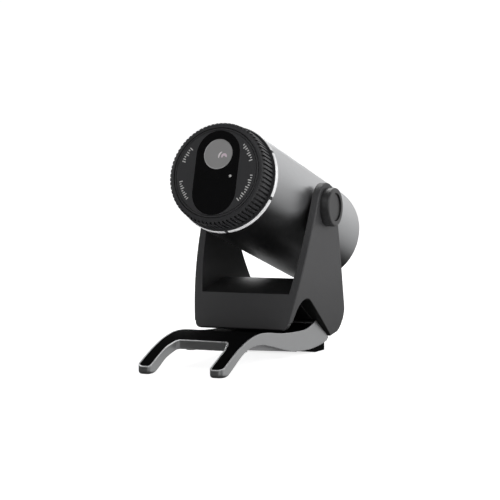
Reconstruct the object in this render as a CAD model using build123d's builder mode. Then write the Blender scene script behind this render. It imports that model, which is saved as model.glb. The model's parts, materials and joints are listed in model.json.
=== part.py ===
from build123d import *
from math import asin, cos, degrees, radians, sin, sqrt
import os

os.makedirs("parts", exist_ok=True)

# A barrel webcam that tilts in a two-armed yoke, on a two-pronged fork that folds down as a clip.
# Millimetres. The front of the camera faces -Y. The origin is on the surface that the fork stands
# on, under the middle of the whole object. Side-view places are given from the tilt pivot.

# ---------------------------------------------------------------- driving dimensions
pivot_y = 13.23
pivot_height = 50.6
barrel_pitch = 15.7

barrel_radius = 18.0
barrel_wall = 1.6
barrel_front = 36.0
barrel_rear = -40.3
ring_rear = 37.7
face_front = 45.0
rib_count = 72
window_width = 15.6
window_height = 28.2
lens_rise = 6.2
led_x = 5.2
led_y = -1.1
shutter_twist = 60.0

arm_outer = 21.1
arm_inner = 18.6
arm_top_radius = 8.3
knob_radius = 6.6
knob_face = 24.35

fork_half_width = 15.1
fork_gap_half_width = 10.2
fork_tip = -70.0
fork_gap_end = -53.5
fork_throat_half_width = 8.8
fork_throat_length = 5.5
fork_rim = 0.45
tip_round = 1.0
pad_depth = 0.85

hinge_y = 17.4
hinge_z = -43.6
hinge_pin_radius = 1.0

clearance = 0.1

# ---------------------------------------------------------------- shared frames and helpers
pivot = Vector(0, pivot_y, pivot_height)
barrel_direction = Vector(0, -cos(radians(barrel_pitch)), sin(radians(barrel_pitch)))
barrel_up = Vector(0, sin(radians(barrel_pitch)), cos(radians(barrel_pitch)))
barrel_plane = Plane(origin=pivot, x_dir=(1, 0, 0), z_dir=barrel_direction)
barrel_section = Plane(origin=pivot, x_dir=barrel_direction, z_dir=(-1, 0, 0))
barrel_axis = Axis(pivot, barrel_direction)
lens_section = Plane(origin=pivot + barrel_up * lens_rise, x_dir=barrel_direction, z_dir=(-1, 0, 0))
lens_axis = Axis(pivot + barrel_up * lens_rise, barrel_direction)
pivot_section = Plane(origin=pivot, x_dir=(1, 0, 0), z_dir=(0, -1, 0))
pivot_axis = Axis(pivot, (1, 0, 0))
hinge_centre = pivot + Vector(0, hinge_y, hinge_z)
hinge_section = Plane(origin=hinge_centre, x_dir=(1, 0, 0), z_dir=(0, -1, 0))


def side(y, z):
    """A side-view point, measured from the tilt pivot, in the YZ plane."""
    return (pivot_y + y, pivot_height + z)


def write(piece, name):
    """Labels a finished piece and writes its STEP file."""
    piece.label = name
    export_step(piece, f"parts/{name}.step")


def outline(plane, points):
    """A closed polygon face on a plane."""
    with BuildSketch(plane) as face:
        with BuildLine():
            Polyline(*points, close=True)
        make_face()
    return face.sketch


def side_outline(points):
    """A closed side-view polygon, its points measured from the tilt pivot."""
    return outline(Plane.YZ, [side(*point) for point in points])


def corner(sketch, point, radius):
    """Rounds the vertex of a sketch that lies nearest to a point."""
    fillet(sketch.vertices().sort_by_distance(point)[0], radius)


# ---------------------------------------------------------------- yoke: outer shape
front_foot = (-25.3, -40.35)
front_foot_inner = (-23.4, -40.35)
tunnel_top = (-15.96, -27.5)
rear_foot_inner = (15.9, -46.0)
rear_foot_outer = (21.9, -44.9)
tunnel_round = 8.5
slope_angle = degrees(asin((tunnel_top[1] - rear_foot_inner[1]) / 36.84))
slope_down = Vector(0, cos(radians(slope_angle)), -sin(radians(slope_angle)))
slope_normal = Vector(0, -sin(radians(slope_angle)), -cos(radians(slope_angle)))
arm_bulge = 400.0
channel_bulge = 320.0
bridge_front = (-21.4, -28.4)
bridge_peak = (-0.6, -24.85)
bridge_rear = (23.5, -32.9)


def outer_x(z):
    """Half width over the arms' outer faces, at a height from the pivot."""
    return arm_outer - z * z / arm_bulge


def inner_x(z):
    """Half width between the arms' inner faces, at a height from the pivot."""
    return arm_inner - z * z / channel_bulge


def bowed_sides(half_width, low, high):
    """A front-view face between two bowed sides, from one height to another."""
    right_low = (half_width(low), pivot_height + low)
    right_mid = (half_width(low / 2), pivot_height + low / 2)
    right_zero = (half_width(0), pivot_height)
    right_high = (half_width(0), pivot_height + high)
    with BuildSketch(Plane.XZ) as face:
        with BuildLine():
            right = ThreePointArc(right_low, right_mid, right_zero)
            upper = Line(right_zero, right_high)
            mirror(right, about=Plane.YZ)
            mirror(upper, about=Plane.YZ)
            Line(right_high, (-right_high[0], right_high[1]))
            Line(right_low, (-right_low[0], right_low[1]))
        make_face()
    return face.sketch


with BuildPart() as channel:
    extrude(bowed_sides(inner_x, -34.0, 12.0), amount=80, both=True)
    with BuildSketch(Plane.YZ):
        with BuildLine():
            ThreePointArc(side(*bridge_front), side(-11.1, -25.75), side(*bridge_peak))
            ThreePointArc(side(*bridge_peak), side(12.2, -26.85), side(*bridge_rear))
            Polyline(
                side(*bridge_rear), side(40, -40), side(40, 12), side(-40, 12), side(-40, -28.4),
                side(*bridge_front),
            )
        make_face()
    extrude(amount=30, both=True, mode=Mode.INTERSECT)

slope_start = Vector(0, *side(*tunnel_top))
slope_middle = slope_start + slope_down * 19.5
cover_plane = Plane(origin=slope_middle, x_dir=(1, 0, 0), z_dir=slope_normal)
cover_width = 27.6
cover_length = 23.0
cover_thickness = 1.5
cover_screw_place = (7.5, 9.6)
front_lip_normal = Vector(0, 0.867, -0.499)
lip_plane = Plane(origin=(0, *side(-21.3, -36.8)), x_dir=(1, 0, 0), z_dir=front_lip_normal)
bush_radius = 3.6
edge_round = 0.4

with BuildPart() as yoke_frame:
    with BuildSketch(Plane.YZ) as yoke_side:
        with BuildLine():
            ThreePointArc(side(*front_foot), side(-17.75, -18.5), side(-7.36, 3.85))
            ThreePointArc(side(-7.36, 3.85), side(0, arm_top_radius), side(8.05, 2.0))
            rear_edge = ThreePointArc(side(8.05, 2.0), side(14.4, -17.2), side(24.1, -35.6))
            TangentArc(side(24.1, -35.6), side(*rear_foot_outer), tangent=rear_edge % 1)
            Polyline(
                side(*rear_foot_outer), side(*rear_foot_inner), side(*tunnel_top),
                side(*front_foot_inner), side(*front_foot),
            )
        make_face()
        corner(yoke_side, side(*tunnel_top), tunnel_round)
        corner(yoke_side, side(*rear_foot_inner), 0.8)
        corner(yoke_side, side(*rear_foot_outer), 1.5)
        corner(yoke_side, side(*front_foot), 0.6)
        corner(yoke_side, side(*front_foot_inner), 0.5)
    extrude(amount=arm_outer + 2, both=True)
    extrude(bowed_sides(outer_x, -48.0, 12.0), amount=80, both=True, mode=Mode.INTERSECT)
    add(channel.part, mode=Mode.SUBTRACT)
    # rounded lower corners of the front plate
    plate_round = 2.4
    corner_x = outer_x(front_foot[1])
    with BuildSketch(Plane.XZ.offset(-pivot_y + 30)):
        for sign in (-1, 1):
            with Locations((sign * corner_x, pivot_height + front_foot[1])):
                Rectangle(2 * plate_round, 2 * plate_round)
            with Locations((sign * (corner_x - plate_round), pivot_height + front_foot[1] + plate_round)):
                Circle(plate_round, mode=Mode.SUBTRACT)
            with Locations((sign * (corner_x - 2 * plate_round), pivot_height + front_foot[1])):
                Rectangle(2 * plate_round, 2 * plate_round, mode=Mode.SUBTRACT)
            with Locations((sign * corner_x, pivot_height + front_foot[1] + 2 * plate_round)):
                Rectangle(2 * plate_round, 2 * plate_round, mode=Mode.SUBTRACT)
    extrude(amount=-12, mode=Mode.SUBTRACT)
    # softened edges round both outer sides
    for face in yoke_frame.faces().filter_by(lambda face: abs(face.center().X) > 19.5 and face.area > 1000):
        fillet(face.outer_wire().edges(), edge_round)
    # holes for the pivot bushes
    with Locations(Plane(origin=pivot, x_dir=(0, 1, 0), z_dir=(1, 0, 0))):
        Cylinder(bush_radius, 60, mode=Mode.SUBTRACT)
    # hollow in the bridge, and the seat of the cover that closes it
    extrude(
        side_outline([
            (-9.0, -33.0), (-9.0, -28.6), (0, -27.3), (9, -28.9), (17.0, -33.5),
            (18.3, -37.0), (9.5, -42.3), (8.0, -44.0),
        ]),
        amount=12.4, both=True, mode=Mode.SUBTRACT,
    )
    with BuildSketch(cover_plane.offset(-cover_thickness)):
        Rectangle(cover_width, cover_length)
    extrude(amount=6, mode=Mode.SUBTRACT)
    with BuildSketch(cover_plane):
        with Locations(*[(sign * cover_screw_place[0], cover_screw_place[1]) for sign in (-1, 1)]):
            Circle(0.85)
    extrude(amount=-4.2, mode=Mode.SUBTRACT)
    # room for the fork's knuckle and for its web as the fork folds down
    extrude(
        side_outline([
            (hinge_y - 3.4, hinge_z + 2.4), (hinge_y, hinge_z), (hinge_y + 2.7, hinge_z - 0.5),
            (hinge_y + 4.4, hinge_z - 2.4), (hinge_y + 4.0, hinge_z - 5.0), (hinge_y - 8, hinge_z - 5.0),
            (hinge_y - 8, hinge_z + 4.0),
        ]),
        amount=10.0, both=True, mode=Mode.SUBTRACT,
    )
    with Locations(hinge_section):
        Cylinder(2.7, 20, rotation=(0, 90, 0), mode=Mode.SUBTRACT)
    # bore of the hinge pin, open at the left side only
    with BuildSketch(Plane.YZ.offset(14.9)):
        with Locations(side(hinge_y, hinge_z)):
            Circle(hinge_pin_radius + 0.02)
    extrude(amount=-40, mode=Mode.SUBTRACT)
write(yoke_frame.part, "yoke_frame")

with BuildPart() as yoke_cover:
    with BuildSketch(cover_plane.offset(-cover_thickness + 0.05)):
        Rectangle(cover_width - 2 * clearance, cover_length - 2 * clearance)
    extrude(amount=cover_thickness - clearance)
    with Locations(cover_plane.offset(-0.05)):
        with Locations(*[(sign * cover_screw_place[0], cover_screw_place[1]) for sign in (-1, 1)]):
            CounterSinkHole(0.9, 1.7, counter_sink_angle=90)
write(yoke_cover.part, "yoke_cover")

with BuildPart() as cover_screws:
    for sign in (-1, 1):
        screw_foot = cover_plane * Pos(sign * cover_screw_place[0], cover_screw_place[1], -4.0)
        with BuildSketch(Plane(screw_foot)):
            Circle(0.8)
        extrude(amount=3.4)
        screw_head = cover_plane * Pos(sign * cover_screw_place[0], cover_screw_place[1], -0.9)
        with Locations(screw_head):
            Cone(0.78, 1.5, 0.7, align=(Align.CENTER, Align.CENTER, Align.MIN))
write(cover_screws.part, "cover_screws")

with BuildPart() as bezel_pad:
    with BuildSketch(lip_plane.offset(0.03)):
        RectangleRounded(29.0, 3.6, 0.8)
    extrude(amount=0.8)
write(bezel_pad.part, "bezel_pad")

# ---------------------------------------------------------------- hinge pin and washers
with BuildPart() as hinge_pin:
    with BuildSketch(Plane.YZ.offset(14.7)):
        with Locations(side(hinge_y, hinge_z)):
            Circle(hinge_pin_radius)
    extrude(amount=-30.2)
    chamfer(hinge_pin.edges().filter_by(GeomType.CIRCLE), 0.2)
write(hinge_pin.part, "hinge_pin")

knuckle_half_width = 9.55
with BuildPart() as hinge_washers:
    for left_face in (-9.93, knuckle_half_width + 0.07):
        with BuildSketch(Plane.YZ.offset(left_face)):
            with Locations(side(hinge_y, hinge_z)):
                Circle(2.2)
                Circle(hinge_pin_radius + 0.06, mode=Mode.SUBTRACT)
        extrude(amount=0.31)
write(hinge_washers.part, "hinge_washers")


# ---------------------------------------------------------------- tilt pivot, one set each side
def turned_about_pivot(points, sign):
    """A round profile about the pivot axis, as distance from the middle plane and radius."""
    return outline(pivot_section, [(sign * x, r) for x, r in points])


shoulder_x = arm_inner - 0.3
recess_radius = 4.75
recess_floor = 23.45
for side_name, sign in (("left", -1), ("right", 1)):
    with BuildPart() as trunnion:
        revolve(
            turned_about_pivot([
                (13.0, 1.02), (13.0, 5.4), (15.2, 5.4), (15.2, 3.9), (shoulder_x, 3.9),
                (shoulder_x, 2.5), (21.3, 2.5), (21.3, 1.02),
            ], sign),
            axis=pivot_axis,
        )
    write(trunnion.part, f"trunnion_{side_name}")

    with BuildPart() as pivot_bush:
        revolve(
            turned_about_pivot([
                (arm_inner + 0.03, 2.56), (arm_inner + 0.03, bush_radius - 0.03),
                (arm_outer, bush_radius - 0.03), (arm_outer, 2.56),
            ], sign),
            axis=pivot_axis,
        )
    write(pivot_bush.part, f"pivot_bush_{side_name}")

    with BuildPart() as friction_washer:
        revolve(
            turned_about_pivot([
                (shoulder_x + 0.02, 2.6), (shoulder_x + 0.02, 3.85),
                (arm_inner - 0.07, 3.85), (arm_inner - 0.07, 2.6),
            ], sign),
            axis=pivot_axis,
        )
    write(friction_washer.part, f"friction_washer_{side_name}")

    with BuildPart() as spring_washer:
        revolve(
            turned_about_pivot([(21.35, 1.2), (21.25, 3.6), (21.6, 3.6), (21.75, 1.2)], sign),
            axis=pivot_axis,
        )
    write(spring_washer.part, f"spring_washer_{side_name}")

    with BuildPart() as pivot_screw:
        revolve(
            turned_about_pivot([
                (15.0, 0), (15.0, 1.0), (21.8, 1.0), (21.8, 2.3), (22.4, 2.3), (22.9, 1.7),
                (22.9, 0.8), (22.3, 0.8), (22.3, 0),
            ], sign),
            axis=pivot_axis,
        )
    write(pivot_screw.part, f"pivot_screw_{side_name}")

    with BuildPart() as knob_cap:
        revolve(
            turned_about_pivot([
                (arm_outer + 0.02, 4.4), (arm_outer + 0.02, knob_radius), (23.85, knob_radius),
                (24.2, knob_radius - 0.15), (knob_face, knob_radius - 0.5),
                (knob_face, recess_radius + 0.1), (knob_face - 0.1, recess_radius),
                (recess_floor, recess_radius), (recess_floor, 0), (22.95, 0), (22.95, 4.4),
            ], sign),
            axis=pivot_axis,
        )
    write(knob_cap.part, f"knob_cap_{side_name}")

    with BuildPart() as knob_disc:
        revolve(
            turned_about_pivot([
                (recess_floor + 0.02, 0), (recess_floor + 0.02, recess_radius - 0.08),
                (recess_floor + 0.3, recess_radius - 0.08), (recess_floor + 0.38, recess_radius - 0.16),
                (recess_floor + 0.38, 0),
            ], sign),
            axis=pivot_axis,
        )
    write(knob_disc.part, f"knob_disc_{side_name}")

# ---------------------------------------------------------------- fork stand
fork_top = [
    (fork_tip, -48.2), (-56.0, -42.15), (-43.0, -39.55), (-26.0, -40.95), (-11.0, -41.75), (4.3, -39.5),
]
tail_foot = (15.7, -46.3)
tail_heel = (14.2, -47.4)
fork_sole = [
    (-67.3, -50.6), (-61.0, -47.5), (-53.5, -44.2), (-42.8, -43.1), (-33.0, -44.6), (-20.0, -47.3),
    (-4.0, -48.8), tail_heel,
]
fork_cover_half_width = 13.3
fork_screw_grip = 1.2
fork_screw_places = [(-9.0, -43.5, -43.6), (9.0, -43.5, -43.6), (-9.0, -14.0, -46.0), (9.0, -14.0, -46.0)]


def top_edge(drop):
    """The curve of the fork's top, lowered by a distance."""
    Spline(*[side(y, z - drop) for y, z in fork_top], tangents=[(0.9, 0.42), (0.94, 0.34)])


def fork_plan(inset):
    """The fork seen from above, drawn in by a margin."""
    half = fork_half_width - inset
    gap_half = fork_gap_half_width + inset
    throat_half = fork_throat_half_width + inset
    tip = pivot_y + fork_tip + inset
    gap_end = pivot_y + fork_gap_end + inset
    throat = gap_end - fork_throat_length
    rear = pivot_y + 20.0
    with BuildSketch(Plane.XY) as plan:
        with BuildLine():
            Polyline(
                (-half, rear), (-half, tip), (-gap_half, tip), (-gap_half, throat),
                (-throat_half, gap_end), (throat_half, gap_end), (gap_half, throat),
                (gap_half, tip), (half, tip), (half, rear), close=True,
            )
        make_face()
        for sign in (-1, 1):
            corner(plan, (sign * half, tip), 2.2 - inset)
            corner(plan, (sign * gap_half, tip), 1.3 - inset)
            corner(plan, (sign * gap_half, throat), 8.0)
            corner(plan, (sign * throat_half, gap_end), 1.4 + inset)
    return plan.sketch


# the solid between the fork's top curve and its sole, rounded under the tips
with BuildPart() as fork_block:
    with BuildSketch(Plane.YZ):
        with BuildLine():
            top_edge(0)
            Spline(*[side(*point) for point in fork_sole])
            Polyline(side(*tail_heel), side(*tail_foot), side(*fork_top[-1]))
            Polyline(
                side(*fork_top[0]), side(fork_tip - 1, fork_top[0][1] - 0.5),
                side(fork_tip - 1, fork_sole[0][1]), side(*fork_sole[0]),
            )
        make_face()
    extrude(amount=fork_half_width, both=True)
    extrude(fork_plan(0), amount=80, mode=Mode.INTERSECT)
    fillet(fork_block.edges().filter_by_position(Axis.Z, -0.01, 0.01), tip_round)

with BuildPart() as pad_pocket:
    with BuildSketch(Plane.YZ):
        with BuildLine():
            top_edge(pad_depth)
            Polyline(
                side(4.3, -39.5 - pad_depth), side(4.3, -30.0), side(fork_tip, -30.0),
                side(fork_tip, fork_top[0][1] - pad_depth),
            )
        make_face()
    extrude(amount=fork_half_width, both=True)
    extrude(fork_plan(fork_rim), amount=80, mode=Mode.INTERSECT)
    with BuildSketch(Plane.XY.offset(pivot_height - 30)):
        with Locations((0, pivot_y + 12.5)):
            Rectangle(40, 20)
    extrude(amount=-20, mode=Mode.SUBTRACT)

with BuildPart() as fork_frame:
    add(fork_block.part)
    add(pad_pocket.part, mode=Mode.SUBTRACT)
    # hollow under the deck, closed by the cover
    with BuildSketch(Plane.YZ):
        with BuildLine():
            Spline(*[side(y, z - 2.6) for y, z in fork_top[2:]], tangents=[(1, 0), (0.94, 0.34)])
            Polyline(
                side(4.3, -42.1), side(11.0, -46.2), side(11.0, -56.0), side(-49.5, -56.0),
                side(-49.5, -43.2), side(-43.0, -42.15),
            )
        make_face()
    extrude(amount=fork_cover_half_width + clearance, both=True, mode=Mode.SUBTRACT)
    # screw bosses
    for x, y, z in fork_screw_places:
        with BuildSketch(Plane.XY.offset(pivot_height + z)):
            with Locations((x, pivot_y + y)):
                Circle(2.3)
        extrude(amount=1.9)
        with BuildSketch(Plane.XY.offset(pivot_height + z + 1.7)):
            with Locations((x, pivot_y + y)):
                Circle(0.85)
        extrude(amount=-10, mode=Mode.SUBTRACT)
    # hinge knuckle and the web that joins it to the tail
    with BuildSketch(Plane.YZ):
        with Locations(side(hinge_y, hinge_z)):
            Circle(2.3)
    extrude(amount=knuckle_half_width, both=True)
    extrude(
        side_outline([
            (hinge_y - 1.15, hinge_z + 1.99), (hinge_y - 4.5, hinge_z + 0.2),
            (hinge_y - 4.5, hinge_z - 3.4),
            (hinge_y - 1.6, hinge_z - 2.7), (hinge_y + 0.6, hinge_z - 2.22),
        ]),
        amount=knuckle_half_width, both=True,
    )
    with BuildSketch(Plane.YZ):
        with Locations(side(hinge_y, hinge_z)):
            Circle(hinge_pin_radius + 0.05)
    extrude(amount=20, both=True, mode=Mode.SUBTRACT)
write(fork_frame.part, "fork_frame")

with BuildPart() as fork_pad:
    with BuildSketch(Plane.YZ):
        with BuildLine():
            top_edge(0.12)
            top_edge(pad_depth - 0.05)
            Line(side(fork_tip, fork_top[0][1] - 0.12), side(fork_tip, fork_top[0][1] - pad_depth + 0.05))
            Line(side(4.3, -39.62), side(4.3, -40.3))
        make_face()
    extrude(amount=fork_half_width, both=True)
    extrude(fork_plan(fork_rim + 0.05), amount=80, mode=Mode.INTERSECT)
    with BuildSketch(Plane.XY.offset(pivot_height - 30)):
        with Locations((0, pivot_y + 12.45)):
            Rectangle(40, 20)
    extrude(amount=-20, mode=Mode.SUBTRACT)
write(fork_pad.part, "fork_pad")

with BuildPart() as cover_block:
    with BuildSketch(Plane.YZ):
        with BuildLine():
            Spline(
                *[side(y, z - 2.7) for y, z in fork_top[2:-1]], side(3.5, -42.4),
                tangents=[(1, 0), (0.94, 0.34)],
            )
            Polyline(
                side(3.5, -42.4), side(10.9, -46.6), side(10.9, -48.15), side(-9.0, -49.0),
                side(-49.4, -44.1), side(-49.4, -43.4), side(-43.0, -42.25),
            )
        make_face()
    extrude(amount=fork_cover_half_width, both=True)

with BuildPart() as fork_cover:
    add(cover_block.part)
    extrude(
        side_outline([
            (-46, -30), (-46, -43.2), (-30, -45.1), (-9, -47.6), (5, -47.0), (5, -30),
        ]),
        amount=fork_cover_half_width - 1.3, both=True, mode=Mode.SUBTRACT,
    )
    with BuildSketch(Plane.XY.offset(pivot_height - 49.5)):
        with Locations(*[(x, pivot_y + y) for x, y, z in fork_screw_places]):
            Circle(2.5)
    extrude(amount=5.8)
    add(cover_block.part, mode=Mode.INTERSECT)
    for x, y, z in fork_screw_places:
        with BuildSketch(Plane.XY.offset(pivot_height + z - 0.05)):
            with Locations((x, pivot_y + y)):
                Circle(3.0)
        extrude(amount=6, mode=Mode.SUBTRACT)
        with BuildSketch(Plane.XY.offset(pivot_height - 50.0)):
            with Locations((x, pivot_y + y)):
                Circle(1.0)
        extrude(amount=8, mode=Mode.SUBTRACT)
        head_seat = z - fork_screw_grip
        with BuildSketch(Plane.XY.offset(pivot_height + head_seat)):
            with Locations((x, pivot_y + y)):
                Circle(1.95)
        extrude(amount=-8, mode=Mode.SUBTRACT)
write(fork_cover.part, "fork_cover")

with BuildPart() as fork_screws:
    for x, y, z in fork_screw_places:
        with BuildSketch(Plane.XY.offset(pivot_height + z - fork_screw_grip - 0.7)):
            with Locations((x, pivot_y + y)):
                Circle(1.8)
        extrude(amount=0.65)
        with BuildSketch(Plane.XY.offset(pivot_height + z - fork_screw_grip - 0.1)):
            with Locations((x, pivot_y + y)):
                Circle(0.8)
        extrude(amount=fork_screw_grip + 1.5)
        with BuildSketch(Plane.XY.offset(pivot_height + z - fork_screw_grip - 0.7)):
            with Locations((x, pivot_y + y)):
                RegularPolygon(0.6, 6)
        extrude(amount=0.4, mode=Mode.SUBTRACT)
write(fork_screws.part, "fork_screws")

foot_start = -6.6
foot_end = 14.0
with BuildPart() as rear_foot:
    extrude(
        side_outline([
            (foot_start, -48.0), (4.9, -50.6), (foot_end - 0.5, -50.6), (foot_end, -50.1),
            (foot_end, -46.0), (foot_start, -46.0),
        ]),
        amount=fork_half_width - 0.5, both=True,
    )
    fillet(rear_foot.edges().filter_by(Axis.Z).sort_by(Axis.Y)[-2:], 1.2)
    add(Pos(0, 0, -0.04) * fork_block.part, mode=Mode.SUBTRACT)
    add(Pos(0, 0, -0.04) * cover_block.part, mode=Mode.SUBTRACT)
write(rear_foot.part, "rear_foot")


# ---------------------------------------------------------------- barrel
def turned(points):
    """A round profile about the barrel axis, as distance ahead of the pivot and radius."""
    return outline(barrel_section, points)


def turned_lens(points):
    """A round profile about the lens axis, as distance ahead of the pivot and radius."""
    return outline(lens_section, points)


def sector(ahead, inner, outer, start, sweep):
    """A sector of a ring across the barrel axis, at a distance ahead of the pivot."""
    with BuildSketch(barrel_plane.offset(ahead)) as face:
        with BuildLine():
            outer_arc = CenterArc((0, 0), outer, start, sweep)
            inner_arc = CenterArc((0, 0), inner, start, sweep)
            Line(inner_arc @ 0, outer_arc @ 0)
            Line(inner_arc @ 1, outer_arc @ 1)
        make_face()
    return face.sketch


bore = barrel_radius - barrel_wall
with BuildPart() as barrel_shell:
    revolve(
        turned([
            (barrel_rear, bore), (barrel_rear, barrel_radius - 0.5), (barrel_rear + 0.5, barrel_radius),
            (barrel_front, barrel_radius), (barrel_front, bore),
        ]),
        axis=barrel_axis,
    )
    with Locations(Plane(origin=pivot, x_dir=(0, 1, 0), z_dir=(1, 0, 0))):
        Cylinder(4.0, 60, mode=Mode.SUBTRACT)
write(barrel_shell.part, "barrel_shell")

key_angles = [31, -21, -82.5, 98, 159, 211]
trim_front = 37.4
with BuildPart() as trim_ring:
    revolve(
        turned([
            (barrel_front + 0.05, 15.4), (barrel_front + 0.05, barrel_radius), (37.15, barrel_radius),
            (trim_front, barrel_radius - 0.25), (trim_front, 15.4),
        ]),
        axis=barrel_axis,
    )
    with BuildSketch(barrel_plane.offset(barrel_front)):
        for angle in key_angles:
            with PolarLocations(17.6, 1, start_angle=angle):
                Rectangle(1.6, 1.1)
    extrude(amount=2, mode=Mode.SUBTRACT)
write(trim_ring.part, "trim_ring")

# black spacer in front of the trim ring, with keys that fill the ring's notches
with BuildPart() as trim_spacer:
    with BuildSketch(barrel_plane.offset(trim_front + 0.02)):
        Circle(barrel_radius - 0.3)
        Circle(14.5, mode=Mode.SUBTRACT)
    extrude(amount=0.16)
    with BuildSketch(barrel_plane.offset(barrel_front + 0.15)):
        for angle in key_angles:
            with PolarLocations(17.4, 1, start_angle=angle):
                Rectangle(1.1, 0.9)
    extrude(amount=trim_front - barrel_front)
write(trim_spacer.part, "trim_spacer")

tube_outer = 14.4
tube_inner = 13.0
flange_radius = 14.9
disc_rear = 41.6
disc_thickness = 0.4
tab_angles = [30, 150, 270]
tab_half_angle = 4.0
slot_margin = 7.0
with BuildPart() as front_bezel:
    revolve(
        turned([
            (33.0, tube_inner), (33.0, bore - clearance), (barrel_front - 0.05, bore - clearance),
            (barrel_front - 0.05, tube_outer), (43.5, tube_outer), (43.5, flange_radius),
            (face_front - 0.12, flange_radius), (face_front, flange_radius - 0.12),
            (face_front, 14.45), (face_front - 0.35, 14.4), (face_front - 0.35, 14.15), (face_front, 14.1),
            (face_front, 0), (43.4, 0), (43.4, tube_inner),
        ]),
        axis=barrel_axis,
    )
    # seat of the window and the opening behind it
    with BuildSketch(barrel_plane.offset(face_front)):
        SlotOverall(window_height, window_width, rotation=90)
    extrude(amount=-1.0, mode=Mode.SUBTRACT)
    with BuildSketch(barrel_plane.offset(face_front)):
        SlotOverall(window_height - 2.4, window_width - 2.4, rotation=90)
    extrude(amount=-3.0, mode=Mode.SUBTRACT)
    # arc slots through the tube for the shutter's tabs
    for angle in tab_angles:
        slot = sector(disc_rear - 0.35, 12.0, 14.6, angle - slot_margin, shutter_twist + 2 * slot_margin)
        extrude(slot, amount=disc_thickness + 0.7, mode=Mode.SUBTRACT)
write(front_bezel.part, "front_bezel")

# the knurled ring, with a rounded front shoulder and pockets for the shutter's tabs
ring_radius = 17.0
rib_depth = 0.65
shoulder_length = 1.2
ring_opening = flange_radius + 0.25
with BuildSketch(barrel_section) as ring_section:
    with BuildLine():
        EllipticalCenterArc(
            (face_front - shoulder_length, ring_opening), shoulder_length, ring_radius - ring_opening,
            start_angle=0, arc_size=90,
        )
        Polyline(
            (face_front - shoulder_length, ring_radius), (ring_rear + 0.25, ring_radius), (ring_rear, 16.8),
            (ring_rear, 14.7), (43.35, 14.7), (43.35, ring_opening), (face_front, ring_opening),
        )
    make_face()

with BuildPart() as grip_ring:
    with BuildSketch(barrel_plane.offset(ring_rear)):
        Circle(ring_radius)
        with PolarLocations(ring_radius, rib_count):
            Rectangle(2 * rib_depth, 0.66, mode=Mode.SUBTRACT)
    extrude(amount=face_front - ring_rear)
    revolve(ring_section.sketch, axis=barrel_axis, mode=Mode.INTERSECT)
    for angle in tab_angles:
        pocket = sector(disc_rear - 0.2, 14.0, 15.8, angle - tab_half_angle - 0.6, 2 * tab_half_angle + 1.2)
        extrude(pocket, amount=1.85, mode=Mode.SUBTRACT)
write(grip_ring.part, "grip_ring")

aperture_radius = 3.3
led_radius = sqrt(led_x ** 2 + led_y ** 2)
led_angle = degrees(asin(led_y / led_radius))
with BuildPart() as shutter_disc:
    with BuildSketch(barrel_plane.offset(disc_rear)):
        Circle(12.8)
    extrude(amount=disc_thickness)
    for angle in tab_angles:
        tab = sector(disc_rear, 12.0, 15.6, angle - tab_half_angle, 2 * tab_half_angle)
        extrude(tab, amount=disc_thickness)
    with BuildSketch(barrel_plane.offset(disc_rear)):
        with Locations((0, lens_rise)):
            Circle(aperture_radius)
    extrude(amount=disc_thickness, mode=Mode.SUBTRACT)
    slot = sector(
        disc_rear, led_radius - 0.9, led_radius + 0.9,
        led_angle - shutter_twist - 10, shutter_twist + 20,
    )
    extrude(slot, amount=disc_thickness, mode=Mode.SUBTRACT)
write(shutter_disc.part, "shutter_disc")

# ---------------------------------------------------------------- window and lens
lens_window_radius = 5.1
with BuildPart() as window_panel:
    with BuildSketch(barrel_plane.offset(face_front - 0.95)):
        SlotOverall(window_height - 0.1, window_width - 0.1, rotation=90)
        with Locations((0, lens_rise)):
            Circle(lens_window_radius - 0.7, mode=Mode.SUBTRACT)
        with Locations((led_x, led_y)):
            Circle(0.5, mode=Mode.SUBTRACT)
    extrude(amount=0.93)
    with BuildSketch(barrel_plane.offset(face_front)):
        with Locations((0, lens_rise)):
            Circle(lens_window_radius + 0.05)
    extrude(amount=-0.6, mode=Mode.SUBTRACT)
write(window_panel.part, "window_panel")

with BuildPart() as lens_window:
    with BuildSketch(barrel_plane.offset(face_front - 0.58)):
        with Locations((0, lens_rise)):
            Circle(lens_window_radius)
    extrude(amount=0.54)
    chamfer(lens_window.faces().sort_by(Axis(pivot, barrel_direction))[-1].edges(), 0.15)
write(lens_window.part, "lens_window")

with BuildPart() as lens_barrel:
    revolve(
        turned_lens([
            (31.6, 1.8), (31.6, 3.9), (38.4, 3.9), (38.4, 4.6), (40.9, 4.6), (40.9, 3.9),
            (40.3, 3.45), (38.9, 3.45), (38.9, 2.7), (36.5, 2.3), (34.6, 2.3), (34.6, 2.9),
            (32.4, 2.9), (32.4, 1.8),
        ]),
        axis=lens_axis,
    )
write(lens_barrel.part, "lens_barrel")


def lens_element(rear, front, radius, bulge):
    """A lens with a domed front and a flat rear, about the lens axis."""
    dome_radius = (radius ** 2 + bulge ** 2) / (2 * bulge)
    with BuildPart() as element:
        with BuildSketch(barrel_plane.offset(rear)):
            with Locations((0, lens_rise)):
                Circle(radius)
        extrude(amount=front - rear + bulge)
        with Locations(barrel_plane * Pos(0, lens_rise, front + bulge - dome_radius)):
            Sphere(dome_radius, mode=Mode.INTERSECT)
    return element.part


write(lens_element(38.95, 39.7, 3.4, 0.9), "lens_front_element")
write(lens_element(32.5, 33.6, 2.8, 0.8), "lens_rear_element")

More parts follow.
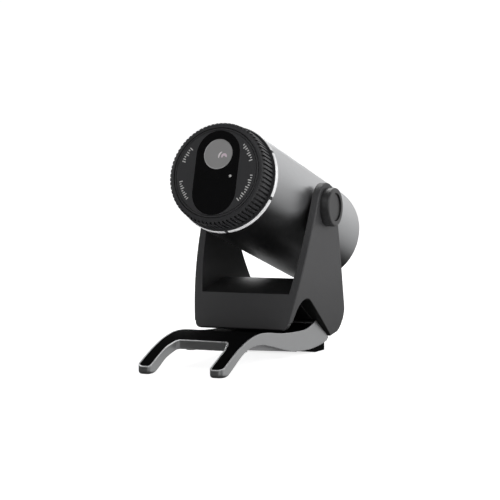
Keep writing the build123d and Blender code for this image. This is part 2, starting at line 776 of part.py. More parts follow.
board_front = 28.2
with BuildPart() as lens_holder:
    with BuildSketch(barrel_plane.offset(board_front + 0.03)):
        with Locations((0, lens_rise)):
            RectangleRounded(11.6, 11.6, 1.0)
    extrude(amount=2.3)
    with BuildSketch(barrel_plane.offset(board_front + 1.0)):
        with Locations((0, lens_rise)):
            Circle(5.0)
    extrude(amount=8.4)
    with BuildSketch(barrel_plane.offset(board_front)):
        with Locations((0, lens_rise)):
            Circle(3.95)
            Rectangle(8.0, 7.2)
    extrude(amount=1.6, mode=Mode.SUBTRACT)
    with BuildSketch(barrel_plane.offset(board_front)):
        with Locations((0, lens_rise)):
            Circle(3.95)
    extrude(amount=12, mode=Mode.SUBTRACT)
write(lens_holder.part, "lens_holder")

with BuildPart() as image_sensor:
    with BuildSketch(barrel_plane.offset(board_front + 0.03)):
        with Locations((0, lens_rise)):
            Rectangle(7.4, 6.6)
    extrude(amount=0.9)
write(image_sensor.part, "image_sensor")

with BuildPart() as sensor_board:
    with BuildSketch(barrel_plane.offset(board_front)):
        Circle(15.6)
        with Locations((0, -18)):
            Rectangle(40, 18, mode=Mode.SUBTRACT)
    extrude(amount=-1.2)
    with BuildSketch(barrel_plane.offset(board_front)):
        with Locations((-13.6, 3.5), (13.6, 3.5)):
            Circle(0.9)
    extrude(amount=-1.2, mode=Mode.SUBTRACT)
write(sensor_board.part, "sensor_board")

with BuildPart() as microphones:
    with BuildSketch(barrel_plane.offset(board_front + 0.03)):
        with Locations((-9.5, -5.5), (9.5, -5.5)):
            Rectangle(3.5, 2.7)
    extrude(amount=1.0)
    with BuildSketch(barrel_plane.offset(board_front + 1.03)):
        with Locations((-9.0, -5.5), (10.0, -5.5)):
            Circle(0.3)
    extrude(amount=-0.3, mode=Mode.SUBTRACT)
write(microphones.part, "microphones")

with BuildPart() as status_led:
    with BuildSketch(barrel_plane.offset(board_front + 0.03)):
        with Locations((led_x, led_y)):
            Rectangle(1.6, 0.8)
    extrude(amount=0.7)
write(status_led.part, "status_led")

with BuildPart() as light_pipe:
    with BuildSketch(barrel_plane.offset(board_front + 0.8)):
        with Locations((led_x, led_y)):
            Circle(0.45)
    extrude(amount=face_front - board_front - 0.85)
write(light_pipe.part, "light_pipe")

# ---------------------------------------------------------------- chassis and main board
cradle_outer = bore - clearance
cradle_inner = 14.6
board_top = -5.8
board_thickness = 1.2
board_half_width = 11.5
board_screw_places = [(-9.0, 29.0), (9.0, 29.0), (-9.0, -19.0), (9.0, -19.0)]


def board_plane(above):
    """A plane level with the main board; its y axis points to the rear of the barrel."""
    level = pivot + barrel_up * (board_top + above)
    return Plane(origin=level, x_dir=(1, 0, 0), z_dir=barrel_up)


with BuildPart() as chassis:
    extrude(sector(-37.0, cradle_inner, cradle_outer, 206, 128), amount=64.0)
    for start in (-37.0, 24.9):
        with BuildSketch(barrel_plane.offset(start)):
            Circle(cradle_outer)
            Circle(12.4, mode=Mode.SUBTRACT)
        extrude(amount=2.0)
    with BuildSketch(board_plane(-board_thickness - 0.03)):
        with Locations(*board_screw_places):
            Circle(2.0)
    extrude(amount=-4.9)
    with BuildSketch(board_plane(-board_thickness)):
        with Locations(*board_screw_places):
            Circle(0.82)
    extrude(amount=-3.6, mode=Mode.SUBTRACT)
    with BuildSketch(barrel_plane.offset(26.9)):
        with Locations((-13.6, 3.5), (13.6, 3.5)):
            Circle(0.82)
    extrude(amount=-2.0, mode=Mode.SUBTRACT)
    with BuildSketch(barrel_plane.offset(-37.0)):
        with PolarLocations(13.5, 3, start_angle=90):
            Circle(0.82)
    extrude(amount=2.0, mode=Mode.SUBTRACT)
write(chassis.part, "chassis")

with BuildPart() as main_board:
    with BuildSketch(board_plane(-board_thickness)):
        with Locations((0, 5.0)):
            RectangleRounded(2 * board_half_width, 56.0, 1.5)
        with Locations(*board_screw_places):
            Circle(0.9, mode=Mode.SUBTRACT)
    extrude(amount=board_thickness)
write(main_board.part, "main_board")

with BuildPart() as board_screws:
    with BuildSketch(board_plane(0.03)):
        with Locations(*board_screw_places):
            Circle(1.6)
    extrude(amount=1.0)
    with BuildSketch(board_plane(0.1)):
        with Locations(*board_screw_places):
            Circle(0.8)
    extrude(amount=-4.5)
    with BuildSketch(board_plane(1.03)):
        with Locations(*board_screw_places):
            Rectangle(1.8, 0.35)
            Rectangle(0.35, 1.8)
    extrude(amount=-0.5, mode=Mode.SUBTRACT)
write(board_screws.part, "board_screws")

with BuildPart() as processor:
    with BuildSketch(board_plane(0.03)):
        with Locations((0, -4.0)):
            Rectangle(12.0, 12.0)
    extrude(amount=1.2)
    chamfer(processor.faces().sort_by(Axis(pivot, barrel_up))[-1].edges(), 0.15)
write(processor.part, "processor")

with BuildPart() as shield_can:
    with BuildSketch(board_plane(0.03)):
        with Locations((0, -4.0)):
            RectangleRounded(18.0, 20.0, 0.8)
    extrude(amount=2.6)
    with BuildSketch(board_plane(0)):
        with Locations((0, -4.0)):
            Rectangle(17.4, 19.4)
    extrude(amount=2.3, mode=Mode.SUBTRACT)
write(shield_can.part, "shield_can")

socket_length = 8.6
socket_rise = board_top + 1.7
socket_mouth = barrel_rear + 0.3
socket_centre = pivot + barrel_up * socket_rise + barrel_direction * socket_mouth
socket_plane = Plane(origin=socket_centre, x_dir=(1, 0, 0), z_dir=barrel_direction)
with BuildPart() as usb_socket:
    with BuildSketch(socket_plane):
        SlotOverall(8.94, 3.26)
    extrude(amount=socket_length)
    with BuildSketch(socket_plane):
        SlotOverall(8.34, 2.56)
    extrude(amount=6.8, mode=Mode.SUBTRACT)
    with BuildSketch(socket_plane.offset(0.6)):
        Rectangle(6.2, 0.7)
    extrude(amount=6.6)
write(usb_socket.part, "usb_socket")

# ---------------------------------------------------------------- rear end
cap_rear = barrel_rear + 0.2
cap_front = -38.3
with BuildPart() as rear_cap:
    revolve(
        turned([
            (cap_rear, 0), (cap_rear, 15.2), (cap_rear + 0.5, 15.9), (cap_rear + 0.5, cradle_outer),
            (cap_front, cradle_outer), (cap_front, 0),
        ]),
        axis=barrel_axis,
    )
    with BuildSketch(socket_plane.offset(-2)):
        SlotOverall(9.3, 3.6)
    extrude(amount=6, mode=Mode.SUBTRACT)
    with BuildSketch(barrel_plane.offset(cap_rear)):
        with PolarLocations(13.5, 3, start_angle=90):
            Circle(1.65)
    extrude(amount=0.9, mode=Mode.SUBTRACT)
    with BuildSketch(barrel_plane.offset(cap_rear)):
        with PolarLocations(13.5, 3, start_angle=90):
            Circle(0.9)
    extrude(amount=4, mode=Mode.SUBTRACT)
write(rear_cap.part, "rear_cap")

with BuildPart() as rear_gasket:
    revolve(
        turned([
            (cap_front + 0.05, 15.0), (cap_front + 0.05, cradle_outer),
            (-37.05, cradle_outer), (-37.05, 15.0),
        ]),
        axis=barrel_axis,
    )
write(rear_gasket.part, "rear_gasket")

with BuildPart() as rear_screws:
    with BuildSketch(barrel_plane.offset(cap_rear + 0.1)):
        with PolarLocations(13.5, 3, start_angle=90):
            Circle(1.5)
    extrude(amount=0.75)
    with BuildSketch(barrel_plane.offset(cap_rear + 0.8)):
        with PolarLocations(13.5, 3, start_angle=90):
            Circle(0.78)
    extrude(amount=4.0)
    with BuildSketch(barrel_plane.offset(cap_rear + 0.1)):
        with PolarLocations(13.5, 3, start_angle=90):
            RegularPolygon(0.6, 6)
    extrude(amount=0.45, mode=Mode.SUBTRACT)
write(rear_screws.part, "rear_screws")

with BuildPart() as sensor_screws:
    with BuildSketch(barrel_plane.offset(board_front + 0.03)):
        with Locations((-13.6, 3.5), (13.6, 3.5)):
            Circle(1.4)
    extrude(amount=0.9)
    with BuildSketch(barrel_plane.offset(board_front + 0.1)):
        with Locations((-13.6, 3.5), (13.6, 3.5)):
            Circle(0.8)
    extrude(amount=-3.0)
write(sensor_screws.part, "sensor_screws")
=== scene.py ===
import bmesh
import bpy
import json
from math import cos, pi, radians, sin
from mathutils import Matrix, Vector


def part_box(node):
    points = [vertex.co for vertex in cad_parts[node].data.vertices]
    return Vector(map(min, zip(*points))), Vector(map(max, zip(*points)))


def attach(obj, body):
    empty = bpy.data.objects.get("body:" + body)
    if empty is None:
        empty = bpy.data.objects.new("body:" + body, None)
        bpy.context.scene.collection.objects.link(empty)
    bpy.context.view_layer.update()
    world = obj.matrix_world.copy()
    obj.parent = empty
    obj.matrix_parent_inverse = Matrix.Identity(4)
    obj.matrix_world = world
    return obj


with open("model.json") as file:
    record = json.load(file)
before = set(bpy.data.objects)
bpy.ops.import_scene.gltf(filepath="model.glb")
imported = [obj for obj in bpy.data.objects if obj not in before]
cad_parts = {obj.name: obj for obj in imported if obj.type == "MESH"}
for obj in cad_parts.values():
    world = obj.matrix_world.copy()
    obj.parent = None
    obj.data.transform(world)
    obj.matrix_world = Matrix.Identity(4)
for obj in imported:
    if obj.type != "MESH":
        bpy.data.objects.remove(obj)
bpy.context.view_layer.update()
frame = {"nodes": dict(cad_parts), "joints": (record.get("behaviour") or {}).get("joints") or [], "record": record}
MM = 0.001

joints = {joint["name"]: joint for joint in frame["joints"]}
PIVOT = Vector(joints["barrel_tilt"]["pos_m"])
BARREL_AXIS = Vector(joints["ring_twist"]["axis"]).normalized()
ACROSS = Vector((1, 0, 0))
BARREL_UP = BARREL_AXIS.cross(ACROSS).normalized()


# ------------------------------------------------------------------ node helpers
def new_material(name):
    """An empty node material."""
    material = bpy.data.materials.new(name)
    material.use_nodes = True
    return material


def add_node(tree, kind, **settings):
    """A node with its attributes and unlinked inputs set; keys with spaces are written with _."""
    node = tree.nodes.new(kind)
    for key, value in settings.items():
        if hasattr(node, key):
            setattr(node, key, value)
        else:
            node.inputs[key.replace("_", " ")].default_value = value
    return node


def noise(tree, scale, detail=3.0, roughness=0.55, stretch=None):
    """Noise in the frame's own metres, so its scale is in features per metre."""
    place = add_node(tree, "ShaderNodeTexCoord")
    texture = add_node(tree, "ShaderNodeTexNoise", Scale=scale, Detail=detail, Roughness=roughness)
    source = place.outputs["Object"]
    if stretch:
        mapping = add_node(tree, "ShaderNodeMapping")
        mapping.inputs["Scale"].default_value = stretch
        tree.links.new(source, mapping.inputs["Vector"])
        source = mapping.outputs["Vector"]
    tree.links.new(source, texture.inputs["Vector"])
    return texture.outputs["Fac"]


def fade(tree, source, start, end, low=0.0, high=1.0):
    """Maps a value from one range to another, held at both ends."""
    ramp = add_node(
        tree, "ShaderNodeMapRange", From_Min=start, From_Max=end, To_Min=low, To_Max=high,
    )
    tree.links.new(source, ramp.inputs["Value"])
    return ramp.outputs["Result"]


def combine(tree, operation, first, second):
    """One number from two."""
    node = add_node(tree, "ShaderNodeMath", operation=operation)
    tree.links.new(first, node.inputs[0])
    tree.links.new(second, node.inputs[1])
    return node.outputs[0]


def split(tree, vector):
    """The X, Y and Z of a vector."""
    node = add_node(tree, "ShaderNodeSeparateXYZ")
    tree.links.new(vector, node.inputs[0])
    return node.outputs


def edge_mask(tree, bevel):
    """One at edges, nought on the flats; the edges it picks are paled, partly as rubbing and partly as a painted
    highlight.
    """
    flat = add_node(tree, "ShaderNodeNewGeometry")
    dot = add_node(tree, "ShaderNodeVectorMath", operation="DOT_PRODUCT")
    tree.links.new(bevel.outputs["Normal"], dot.inputs[0])
    tree.links.new(flat.outputs["Normal"], dot.inputs[1])
    return fade(tree, dot.outputs["Value"], 0.995, 0.80)


def gap_shade_mask(tree, reach):
    """Nought in gaps narrower than the reach, one on open faces; the gaps are then darkened as painted shade."""
    shade = add_node(tree, "ShaderNodeAmbientOcclusion", samples=6)
    shade.inputs["Distance"].default_value = reach
    return fade(tree, shade.outputs["AO"], 0.35, 0.85)


def inner_shade_mask(tree):
    """One on faces turned inwards or down near the stand's foot, less on those turned up or higher; these faces
    get painted shade.
    """
    place = split(tree, add_node(tree, "ShaderNodeTexCoord").outputs["Object"])
    turn = split(tree, add_node(tree, "ShaderNodeNewGeometry").outputs["Normal"])
    inward = fade(tree, combine(tree, "MULTIPLY", place["X"], turn["X"]), -4.0 * MM, -12.0 * MM)
    down = fade(tree, turn["Z"], -0.1, -0.4)
    up = fade(tree, turn["Z"], 0.6, 0.9, high=0.75)
    turned = combine(tree, "MAXIMUM", combine(tree, "MAXIMUM", inward, down), up)
    near_foot = fade(tree, place["Z"], 30.0 * MM, 22.0 * MM, low=0.33)
    return combine(tree, "MULTIPLY", turned, near_foot)


def mix_colour(tree, factor, first, second):
    """Mixes two colours, each a fixed RGB or another node's output."""
    mix = add_node(tree, "ShaderNodeMix", data_type="RGBA")
    for socket, colour in ((mix.inputs[6], first), (mix.inputs[7], second)):
        if isinstance(colour, bpy.types.NodeSocket):
            tree.links.new(colour, socket)
        else:
            socket.default_value = (*colour, 1)
    tree.links.new(factor, mix.inputs[0])
    return mix.outputs[2]


def surface(name, colours, rough, grain, bump=0.05, metallic=0.0, rub_and_highlight_colour=None, edge=0.2,
            specular=0.5, coat=0.0, stretch=None, cloud=60.0, gap_shade_reach=None, inner_shade=None,
            painted_edge_highlight=False):
    """A finish: clouded colour, a grain that drives roughness and bump, and softened, paled edges.

    Grain and cloud are in features per metre, and edge and the gap reach are sizes in millimetres.
    The edge colour is partly the paleness of rubbing and partly a painted highlight, and the
    painted edge highlight flag also takes the metal shine off the edges. The inner shade colour is
    painted shade on the faces that a stand turns inwards, darkest low down between its legs, and
    the gap reach paints shade into gaps narrower than it."""
    material = new_material(name)
    tree = material.node_tree
    shader = tree.nodes["Principled BSDF"]
    colour = mix_colour(tree, noise(tree, cloud, 4.0), *colours)
    fine = noise(tree, grain, 2.0, 0.6, stretch)
    bevel = add_node(tree, "ShaderNodeBevel", samples=6)
    bevel.inputs["Radius"].default_value = edge * MM
    # painted shade: the stand's faces turned inwards, down and up between its legs are darkened towards near
    # black, most low down
    if inner_shade:
        colour = mix_colour(tree, inner_shade_mask(tree), colour, inner_shade)
    # paler edges: partly the paleness of rubbing and partly a painted highlight along the edges
    if rub_and_highlight_colour:
        patches = fade(tree, noise(tree, 900.0, 5.0), 0.3, 0.7, 0.2, 1.0)
        rub_and_highlight = combine(tree, "MULTIPLY", edge_mask(tree, bevel), patches)
        colour = mix_colour(tree, rub_and_highlight, colour, rub_and_highlight_colour)
    shader.inputs["Metallic"].default_value = metallic
    # painted highlight: the paled edges also lose their metal shine, so they show as bright lines whatever they
    # mirror
    if painted_edge_highlight:
        tree.links.new(fade(tree, rub_and_highlight, 0.0, 1.0, metallic, 0.0), shader.inputs["Metallic"])
    # painted shade: the colour in narrow gaps and recesses is mixed towards near black
    if gap_shade_reach:
        colour = mix_colour(tree, gap_shade_mask(tree, gap_shade_reach * MM), (0.002, 0.002, 0.002), colour)
    tree.links.new(colour, shader.inputs["Base Color"])
    tree.links.new(fade(tree, fine, 0.3, 0.7, *rough), shader.inputs["Roughness"])
    relief = add_node(tree, "ShaderNodeBump", Strength=bump, Distance=0.05 * MM)
    tree.links.new(fine, relief.inputs["Height"])
    tree.links.new(bevel.outputs["Normal"], relief.inputs["Normal"])
    tree.links.new(relief.outputs["Normal"], shader.inputs["Normal"])
    shader.inputs["Specular IOR Level"].default_value = specular
    shader.inputs["Coat Weight"].default_value = coat
    return material


# ------------------------------------------------------------------ finishes, one for each slot
# Paler edge colours stand partly for rubbing and partly for a painted highlight.
FINISHES = {
    "barrel_aluminium": dict(
        colours=((0.52, 0.525, 0.535), (0.58, 0.585, 0.595)), rough=(0.27, 0.35), grain=9000.0,
        bump=0.12, metallic=1.0, rub_and_highlight_colour=(0.8, 0.8, 0.8),
    ),
    "polished_trim": dict(
        colours=((0.92, 0.92, 0.93), (0.97, 0.97, 0.98)), rough=(0.12, 0.2), grain=5000.0,
        bump=0.03, metallic=0.3,
    ),
    "bezel_black": dict(
        colours=((0.024, 0.024, 0.026), (0.030, 0.030, 0.032)), rough=(0.42, 0.55), grain=14000.0,
        bump=0.15, rub_and_highlight_colour=(0.10, 0.10, 0.10), edge=0.1,
    ),
    # paler rib edges, partly rubbing and partly painted highlight; painted shade in the knurl's gaps
    "ring_black": dict(
        colours=((0.020, 0.020, 0.022), (0.027, 0.027, 0.029)), rough=(0.36, 0.5), grain=12000.0,
        bump=0.12, rub_and_highlight_colour=(0.11, 0.11, 0.115), edge=0.12, gap_shade_reach=0.8,
    ),
    "window_gloss": dict(
        colours=((0.0028, 0.0028, 0.003), (0.0036, 0.0036, 0.004)), rough=(0.05, 0.12), grain=3000.0,
        bump=0.01, specular=0.25,
    ),
    "lens_glass": dict(
        colours=((0.235, 0.235, 0.235), (0.265, 0.262, 0.262)), rough=(0.12, 0.2), grain=2500.0,
        bump=0.01, coat=0.3,
    ),
    "coated_glass": dict(
        colours=((0.30, 0.16, 0.26), (0.36, 0.20, 0.30)), rough=(0.05, 0.1), grain=2500.0,
        bump=0.0, metallic=0.6,
    ),
    "lens_black": dict(
        colours=((0.01, 0.01, 0.01), (0.014, 0.014, 0.014)), rough=(0.55, 0.7), grain=9000.0, bump=0.1,
    ),
    "inner_plastic": dict(
        colours=((0.06, 0.06, 0.063), (0.075, 0.075, 0.078)), rough=(0.45, 0.6), grain=8000.0, bump=0.1,
    ),
    "chip_black": dict(
        colours=((0.018, 0.018, 0.018), (0.024, 0.024, 0.024)), rough=(0.5, 0.65), grain=9000.0, bump=0.1,
    ),
    "board_green": dict(
        colours=((0.012, 0.09, 0.04), (0.016, 0.11, 0.05)), rough=(0.25, 0.4), grain=4000.0, bump=0.06,
        cloud=400.0,
    ),
    "shield_steel": dict(
        colours=((0.60, 0.60, 0.60), (0.68, 0.68, 0.69)), rough=(0.25, 0.4), grain=7000.0,
        bump=0.06, metallic=1.0, stretch=(1, 0.05, 1),
    ),
    "steel": dict(
        colours=((0.50, 0.50, 0.51), (0.58, 0.58, 0.59)), rough=(0.22, 0.38), grain=9000.0,
        bump=0.08, metallic=1.0, rub_and_highlight_colour=(0.8, 0.8, 0.8), edge=0.1,
    ),
    "led_white": dict(
        colours=((0.44, 0.44, 0.43), (0.52, 0.52, 0.51)), rough=(0.15, 0.3), grain=6000.0, bump=0.02,
    ),
    "pad_rubber": dict(
        colours=((0.002, 0.002, 0.0022), (0.0035, 0.0035, 0.0038)), rough=(0.7, 0.85), grain=11000.0,
        bump=0.25, specular=0.012,
    ),
    # paler edges, partly rubbing and partly painted highlight; near-black painted shade on the faces between the
    # legs
    "yoke_black": dict(
        colours=((0.043, 0.043, 0.045), (0.050, 0.050, 0.052)), rough=(0.42, 0.54), grain=13000.0,
        bump=0.2, rub_and_highlight_colour=(0.075, 0.075, 0.078), edge=0.35, inner_shade=(0.003, 0.003, 0.003),
    ),
    "friction_fibre": dict(
        colours=((0.28, 0.22, 0.14), (0.36, 0.28, 0.18)), rough=(0.7, 0.85), grain=6000.0, bump=0.3,
    ),
    # paler edges, partly rubbing and partly painted highlight; painted shade in gaps and recesses within 3 mm
    "knob_black": dict(
        colours=((0.022, 0.022, 0.023), (0.028, 0.028, 0.029)), rough=(0.34, 0.42), grain=12000.0,
        bump=0.12, rub_and_highlight_colour=(0.06, 0.06, 0.062), edge=0.15, specular=0.7, gap_shade_reach=3.0,
    ),
    # pale edges without metal shine: a painted highlight along the rims, partly also rubbing
    "fork_silver": dict(
        colours=((0.44, 0.445, 0.45), (0.50, 0.505, 0.51)), rough=(0.30, 0.42), grain=10000.0,
        bump=0.1, metallic=0.96, rub_and_highlight_colour=(0.76, 0.76, 0.77), edge=0.4, painted_edge_highlight=True,
    ),
    "cover_grey": dict(
        colours=((0.16, 0.16, 0.165), (0.20, 0.20, 0.205)), rough=(0.45, 0.6), grain=9000.0, bump=0.15,
    ),
}
finishes = {name: surface(name, **settings) for name, settings in FINISHES.items()}
slot_of = {row["node"]: row["material_slot"] for row in frame["record"]["subparts"]}
for name, node in frame["nodes"].items():
    node.data.materials.clear()
    node.data.materials.append(finishes[slot_of[name]])


def soften_edges(name, width):
    """Rounds the sharp edges of a node."""
    bevel = frame["nodes"][name].modifiers.new("edges", "BEVEL")
    bevel.width = width
    bevel.segments = 3
    bevel.limit_method = "ANGLE"
    bevel.angle_limit = radians(40)
    bevel.harden_normals = True


soften_edges("fork_frame", 0.22 * MM)


def add_object(name, mesh, material):
    """Puts a finished bmesh in the scene as an object of one material."""
    data = bpy.data.meshes.new(name)
    mesh.to_mesh(data)
    data.materials.append(material)
    thing = bpy.data.objects.new(name, data)
    bpy.context.scene.collection.objects.link(thing)
    return thing


# ------------------------------------------------------------------ raised marks and small detail
def reach(name):
    """How far ahead of the pivot a node goes along the barrel axis."""
    return max((vertex.co - PIVOT).dot(BARREL_AXIS) for vertex in frame["nodes"][name].data.vertices)


def raised(name, outlines, place, height, material):
    """Thin raised shapes that ride on the barrel, from flat outlines and a function that places them."""
    mesh = bmesh.new()
    for points in outlines:
        low = [mesh.verts.new(place(x, y, 0.0)) for x, y in points]
        high = [mesh.verts.new(place(x, y, height)) for x, y in points]
        mesh.faces.new(high)
        mesh.faces.new(low[::-1])
        for i in range(len(points)):
            mesh.faces.new((low[i - 1], low[i], high[i], high[i - 1]))
    bmesh.ops.recalc_face_normals(mesh, faces=mesh.faces)
    piece = add_object(name, mesh, material)
    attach(piece, "barrel")


END_STEPS = 6


def bar(angle, inner, outer, width):
    """A radial bar with round ends, as an outline round the middle of the face."""
    along = Vector((cos(angle), sin(angle)))
    aside = Vector((-sin(angle), cos(angle)))
    points = []
    for middle, start in ((outer - width / 2, -pi / 2), (inner + width / 2, pi / 2)):
        for i in range(END_STEPS + 1):
            turn = start + pi * i / END_STEPS
            points.append(along * (middle + cos(turn) * width / 2) + aside * sin(turn) * width / 2)
    return points


def crescent(centre, radius, start, end, width, ends=0.15):
    """A curved stroke between two angles in degrees, which thins towards both ends."""
    steps = 24
    outer, inner = [], []
    for i in range(steps + 1):
        angle = radians(start + (end - start) * i / steps)
        half = width / 2 * (ends + (1 - ends) * sin(pi * i / steps) ** 0.6)
        along = Vector((cos(angle), sin(angle)))
        outer.append(Vector(centre) + along * (radius + half))
        inner.append(Vector(centre) + along * (radius - half))
    return outer + inner[::-1]


FACE = reach("front_bezel")
GLASS = reach("lens_window")
FACE_GAP = 0.005 * MM
GLASS_GAP = 0.004 * MM
low_corner, high_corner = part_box("lens_window")
LENS_RISE = ((low_corner + high_corner) / 2 - PIVOT).dot(BARREL_UP)
LENS_RADIUS = (high_corner.x - low_corner.x) / 2


def on_face(x, y, out):
    """A point just ahead of the face ring, from the barrel's own middle."""
    return PIVOT + ACROSS * x + BARREL_UP * y + BARREL_AXIS * (FACE + FACE_GAP + out)


def on_glass(x, y, out):
    """A point just ahead of the lens window, from the window's own middle."""
    return PIVOT + ACROSS * x + BARREL_UP * (LENS_RISE + y) + BARREL_AXIS * (GLASS + GLASS_GAP + out)


mark_print = surface(
    "mark_print", ((0.46, 0.46, 0.455), (0.56, 0.56, 0.55)), (0.5, 0.65), 9000.0, bump=0.1, edge=0.02,
)
# Four scales of plain strokes round the face: first and last angle of each, in degrees.
SCALES = ((141, 163), (194, 223), (19, 46), (-45, -4))
SCALE_RADIUS = 13.2 * MM
STROKE_STEP = 3.7
STROKE_WIDTH = 0.34 * MM
STROKE_LENGTHS = (1.3 * MM, 0.7 * MM, 1.0 * MM)
PRINT_HEIGHT = 0.02 * MM
strokes = []
for first, last in SCALES:
    count = round((last - first) / STROKE_STEP) + 1
    for i in range(count):
        angle = radians(first + (last - first) * i / (count - 1))
        length = STROKE_LENGTHS[i % 3]
        strokes.append(bar(angle, SCALE_RADIUS - length, SCALE_RADIUS, STROKE_WIDTH))
raised("face_marks", strokes, on_face, PRINT_HEIGHT, mark_print)

# a painted highlight on the rim of the lens window, and two arcs of painted reflection such as its coated elements
# would reflect
RIM_HIGHLIGHT_HEIGHT = 0.01 * MM
REFLECTION_HEIGHT = 0.012 * MM
# a thin pale crescent laid on the glass: a painted highlight
rim_highlight = surface(
    "rim_highlight", ((0.44, 0.44, 0.44), (0.52, 0.52, 0.52)), (0.15, 0.25), 3000.0, bump=0.01, edge=0.02,
)
rim = crescent((0, 0), LENS_RADIUS - 0.24 * MM, 100, 330, 0.16 * MM)
raised("lens_rim_highlight", [rim], on_glass, RIM_HIGHLIGHT_HEIGHT, rim_highlight)
# pale and pink crescents laid on the glass: painted reflections of the coated lens elements
reflection_pale = surface(
    "reflection_pale", ((0.60, 0.565, 0.575), (0.70, 0.65, 0.67)), (0.1, 0.2), 3000.0, bump=0.0, edge=0.02,
)
reflection_pink = surface(
    "reflection_pink", ((0.52, 0.43, 0.485), (0.62, 0.52, 0.575)), (0.1, 0.2), 3000.0, bump=0.0, edge=0.02,
)
arc = crescent((2.1 * MM, -0.9 * MM), 1.75 * MM, 112, 196, 0.55 * MM)
raised("lens_reflection_arc", [arc], on_glass, REFLECTION_HEIGHT, reflection_pale)
inner_arc = crescent((2.25 * MM, -0.85 * MM), 0.72 * MM, -15, 205, 0.8 * MM, 0.5)
raised("lens_reflection_spot", [inner_arc], on_glass, REFLECTION_HEIGHT, reflection_pink)

# contacts on both faces of the socket's tongue
socket = next(mount for mount in frame["record"]["mounts"] if mount["name"] == "usb_c_port")
SOCKET_MOUTH = Vector(socket["pos_m"])
contact_gold = surface(
    "contact_gold", ((0.72, 0.52, 0.20), (0.80, 0.60, 0.26)), (0.2, 0.32), 9000.0, bump=0.03,
    metallic=1.0, edge=0.02,
)
TONGUE_HALF = 0.355 * MM
CONTACT_COUNT = 12
CONTACT_PITCH = 0.5 * MM
CONTACT_HALF = 0.13 * MM
CONTACT_START = 1.3 * MM
LONG_CONTACT_START = 0.9 * MM
LONG_CONTACTS = (0, 3, 8, 11)
CONTACT_END = 4.6 * MM
CONTACT_HEIGHT = 0.03 * MM


def on_tongue(side):
    """A function that places points on the tongue's upper (1) or lower (-1) face."""
    def place(x, y, out):
        return SOCKET_MOUTH + ACROSS * x + BARREL_AXIS * y + BARREL_UP * side * (TONGUE_HALF + out)
    return place


for side_name, side in (("upper", 1), ("lower", -1)):
    contacts = []
    for i in range(CONTACT_COUNT):
        left = (i - (CONTACT_COUNT - 1) / 2) * CONTACT_PITCH - CONTACT_HALF
        right = left + 2 * CONTACT_HALF
        start = LONG_CONTACT_START if i in LONG_CONTACTS else CONTACT_START
        contacts.append(((left, start), (right, start), (right, CONTACT_END), (left, CONTACT_END)))
    raised(
        "contacts_" + side_name, contacts, on_tongue(side), CONTACT_HEIGHT, contact_gold,
    )


# ------------------------------------------------------------------ floor and backdrop
def backdrop():
    """A pale floor that sweeps up behind the object, seen by all rays but reflections."""
    half, turn, height = 3.0, 1.0, 3.0
    steps = 24
    section = [(-half, 0.0), (half - turn, 0.0)]
    section += [
        (half - turn + turn * sin(pi / 2 * i / steps), turn - turn * cos(pi / 2 * i / steps))
        for i in range(1, steps + 1)
    ]
    section.append((half, height))
    mesh = bmesh.new()
    rows = [[mesh.verts.new((x, y, z)) for y, z in section] for x in (-half, half)]
    for i in range(len(section) - 1):
        mesh.faces.new((rows[0][i], rows[0][i + 1], rows[1][i + 1], rows[1][i]))
    material = new_material("pale_floor")
    tree = material.node_tree
    shader = tree.nodes["Principled BSDF"]
    tone = mix_colour(tree, noise(tree, 3.0), (0.80, 0.80, 0.80), (0.82, 0.82, 0.82))
    tree.links.new(tone, shader.inputs["Base Color"])
    shader.inputs["Roughness"].default_value = 0.9
    shader.inputs["Specular IOR Level"].default_value = 0.0
    shader.inputs["Emission Color"].default_value = (1, 1, 1, 1)
    shader.inputs["Emission Strength"].default_value = 0.80
    sweep = add_object("backdrop", mesh, material)
    for face in sweep.data.polygons:
        face.use_smooth = True
    sweep.visible_glossy = False


backdrop()


def surround():
    """A white shell beyond the backdrop, seen by the camera only, so that it casts no light."""
    beyond_backdrop = 6.0
    mesh = bmesh.new()
    bmesh.ops.create_icosphere(mesh, subdivisions=4, radius=beyond_backdrop)
    material = new_material("white_shell")
    tree = material.node_tree
    shader = tree.nodes["Principled BSDF"]
    tone = mix_colour(tree, noise(tree, 0.5), (0.98, 0.98, 0.98), (1.0, 1.0, 1.0))
    tree.links.new(tone, shader.inputs["Emission Color"])
    shader.inputs["Emission Strength"].default_value = 1.0
    shader.inputs["Base Color"].default_value = (0, 0, 0, 1)
    shell = add_object("surround", mesh, material)
    for rays in ("diffuse", "glossy", "transmission", "volume_scatter", "shadow"):
        setattr(shell, "visible_" + rays, False)


surround()


# ------------------------------------------------------------------ light and camera
def soft_light(name, place, size, power):
    """A rectangular soft box that looks at the pivot."""
    data = bpy.data.lights.new(name, "AREA")
    data.shape = "RECTANGLE"
    data.size, data.size_y = size
    data.energy = power
    light = bpy.data.objects.new(name, data)
    light.location = place
    light.visible_camera = False
    light.rotation_euler = (PIVOT - Vector(place)).to_track_quat("-Z", "Y").to_euler()
    bpy.context.scene.collection.objects.link(light)


# Metres and watts. Nothing bright stands where the window and the stand's front face mirror it.
soft_light("key_right", (0.80, -0.05, 0.35), (0.7, 0.5), 1.6)
soft_light("back_left", (-0.42, 0.90, 0.22), (0.3, 0.15), 0.45)
soft_light("top", (-0.1, 0.3, 0.9), (0.5, 0.5), 0.7)
soft_light("front_fill", (0.45, -0.9, 0.1), (0.5, 0.4), 0.6)
soft_light("front_high", (0.05, -0.60, 0.78), (0.7, 0.4), 0.8)
soft_light("left", (-0.80, -0.30, 0.45), (0.5, 0.5), 0.9)
soft_light("back_left_high", (-0.34, 0.49, 0.62), (0.35, 0.35), 1.2)
soft_light("front_right", (0.36, -0.42, 0.42), (0.25, 0.25), 0.35)

BRIGHT_SIDE = (0.50, 0.86, 0.0)
DARK_SIDE_TONE = 0.09
# Heights run from 0 straight down to 1 straight up.
HEIGHT_TONES = (
    (0.20, 0.0), (0.25, 0.03), (0.31, 0.30), (0.40, 0.50), (0.5, 0.64), (0.6, 0.84), (0.8, 0.9),
    (1.0, 0.4),
)


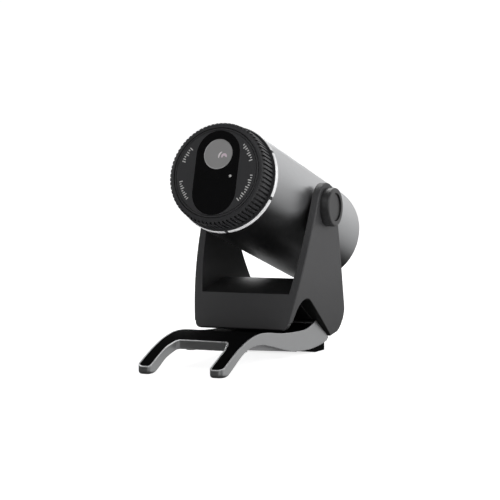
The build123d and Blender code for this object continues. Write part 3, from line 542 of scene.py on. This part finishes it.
def studio():
    """The room round the object: bright at the back right, darker downwards and at the front left."""
    world = bpy.data.worlds.new("studio")
    world.use_nodes = True
    tree = world.node_tree
    background = tree.nodes["Background"]
    direction = add_node(tree, "ShaderNodeTexCoord").outputs["Generated"]
    height = fade(tree, split(tree, direction)["Z"], -1.0, 1.0)
    tones = add_node(tree, "ShaderNodeValToRGB")
    for _ in range(len(HEIGHT_TONES) - 2):
        tones.color_ramp.elements.new(0.5)
    for element, (position, tone) in zip(tones.color_ramp.elements, HEIGHT_TONES):
        element.position = position
        element.color = (tone, tone, tone, 1)
    tree.links.new(height, tones.inputs[0])
    facing = add_node(tree, "ShaderNodeVectorMath", operation="DOT_PRODUCT")
    facing.inputs[1].default_value = BRIGHT_SIDE
    tree.links.new(direction, facing.inputs[0])
    strength = fade(tree, facing.outputs["Value"], 0.0, 0.7, low=DARK_SIDE_TONE)
    strength.node.interpolation_type = "SMOOTHSTEP"
    tree.links.new(tones.outputs[0], background.inputs["Color"])
    tree.links.new(strength, background.inputs["Strength"])
    bpy.context.scene.world = world


studio()

# The camera stands to the right of the object's front and a little above it.
VIEW_AZIMUTH = radians(24.866)
VIEW_FALL = radians(3.188)
VIEW_ROLL = radians(0.211)
VIEW_DISTANCE = 0.56005
AIM_LEFT = 7.248 * MM
AIM_DOWN = 15.055 * MM
SENSOR_MM = 36.0
LENS_MM = 116.28


def stand_camera():
    """Points the camera as the photograph was taken, a little left of and below the pivot."""
    level = cos(VIEW_FALL)
    forward = Vector((-sin(VIEW_AZIMUTH) * level, cos(VIEW_AZIMUTH) * level, -sin(VIEW_FALL)))
    right = Vector((cos(VIEW_AZIMUTH), sin(VIEW_AZIMUTH), 0))
    right = Matrix.Rotation(VIEW_ROLL, 3, forward) @ right
    up = right.cross(forward)
    data = bpy.data.cameras.new("camera")
    data.sensor_width = SENSOR_MM
    data.lens = LENS_MM
    camera = bpy.data.objects.new("camera", data)
    camera.matrix_world = Matrix((right, up, -forward)).transposed().to_4x4()
    camera.location = PIVOT - forward * VIEW_DISTANCE - right * AIM_LEFT - up * AIM_DOWN
    bpy.context.scene.collection.objects.link(camera)
    bpy.context.scene.camera = camera


stand_camera()
bpy.context.scene.view_settings.view_transform = "Standard"
